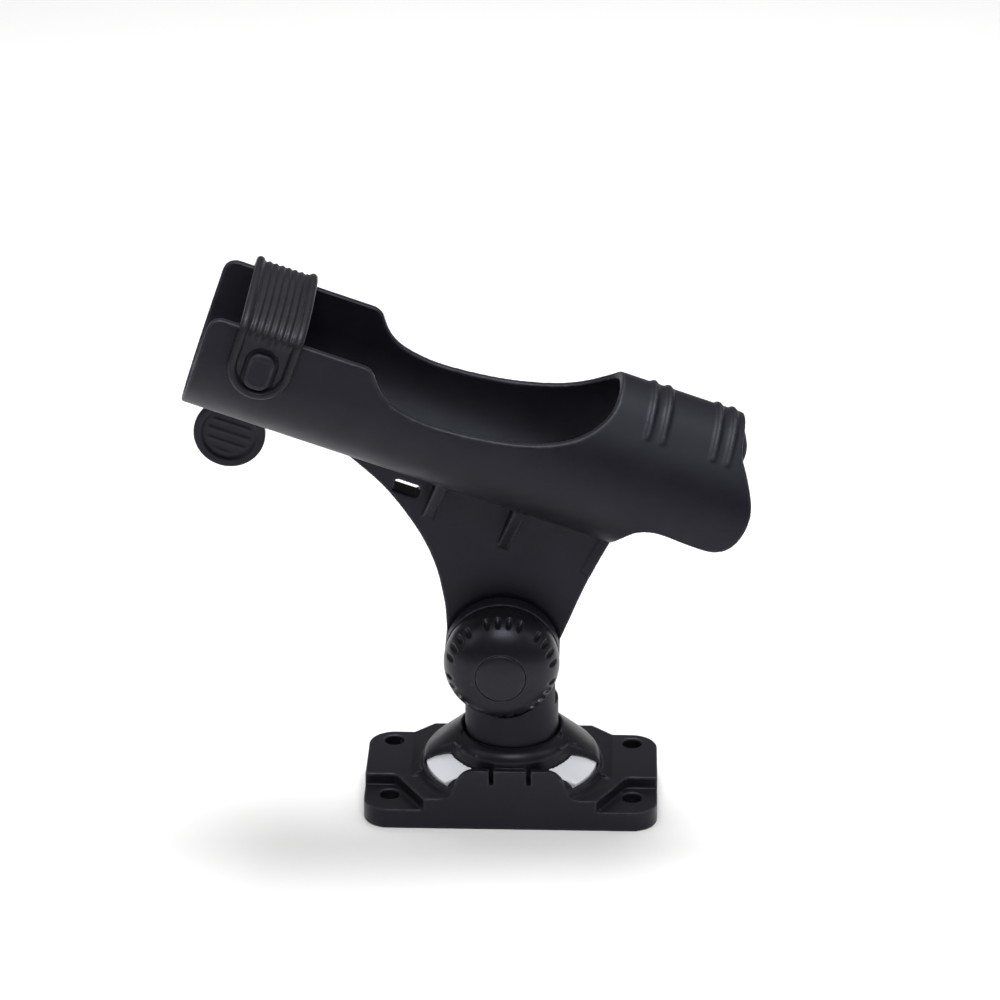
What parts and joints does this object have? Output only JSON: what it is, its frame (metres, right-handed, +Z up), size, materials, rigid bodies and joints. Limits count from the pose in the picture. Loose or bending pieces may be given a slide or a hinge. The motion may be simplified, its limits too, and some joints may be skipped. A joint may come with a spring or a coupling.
{
  "type": "rod holder",
  "caption": "Deck-mounted fishing rod holder: open tube on a toothed tilting arm with a clamping knob, a lift-out post in a locking socket, and a rubber strap.",
  "frame": {"origin": "middle of the base's underside, on the deck", "axes": "+Z up from the deck, +X along the base's long side towards the tube's butt end, +Y away from the knob"},
  "size_m": [0.191, 0.0642, 0.1938],
  "materials": {
    "moulded_black": "satin moulded nylon, slightly bluish black",
    "moulded_pale": "satin pale grey",
    "rubber": "matt dark grey rubber",
    "steel": "plain stainless",
    "brass": "plain turned brass"
  },
  "bodies": {
    "base": {"mount_base": "moulded_black", "ring_retainer": "moulded_black", "retainer_screw_1": "steel", "retainer_screw_2": "steel", "retainer_screw_3": "steel", "retainer_screw_4": "steel", "detent_spring": "steel"},
    "lock": {"lock_ring": "moulded_pale"},
    "upright": {"post": "moulded_black"},
    "arm": {"rod_cradle": "moulded_black", "tilt_bolt": "steel", "tilt_spring": "steel", "strap_button": "moulded_black", "strap_hook": "moulded_black", "strap_band": "rubber"},
    "washer": {"thrust_washer": "steel"},
    "knob": {"tilt_knob": "moulded_black", "knob_insert": "brass", "knob_cap": "moulded_black"},
    "strap_end": {"strap_tail": "rubber"}
  },
  "joints": [
    {"name": "holder_lift", "type": "slide", "parent": "base", "child": "upright", "axis": [0, 0, 1], "range_m": [0, 0.03]},
    {"name": "lock_turn", "type": "hinge", "parent": "base", "child": "lock", "pos_m": [0, 0, 0.0075], "axis": [0, 0, 1], "range_deg": [-6, 6]},
    {"name": "tilt", "type": "hinge", "parent": "upright", "child": "arm", "pos_m": [-0.0031, 0, 0.0604], "axis": [0, 1, 0], "range_deg": [-45, 70]},
    {"name": "washer_slide", "type": "slide", "parent": "arm", "child": "washer", "axis": [0, -1, 0], "range_m": [0, 0.0013]},
    {"name": "knob_turn", "type": "hinge", "parent": "washer", "child": "knob", "pos_m": [-0.0031, -0.02, 0.0604], "axis": [0, -1, 0], "range_deg": [0, 360]},
    {"name": "strap_release", "type": "hinge", "parent": "arm", "child": "strap_end", "pos_m": [-0.07812, 0.0311, 0.18352], "axis": [0.9438, 0, -0.3305], "range_deg": [0, 75], "stiffness_Nm_per_rad": 0.004}
  ],
  "couplings": [
    {"joint": "washer_slide", "follows": "knob_turn", "m_per_rad": 0.00019894}
  ]
}
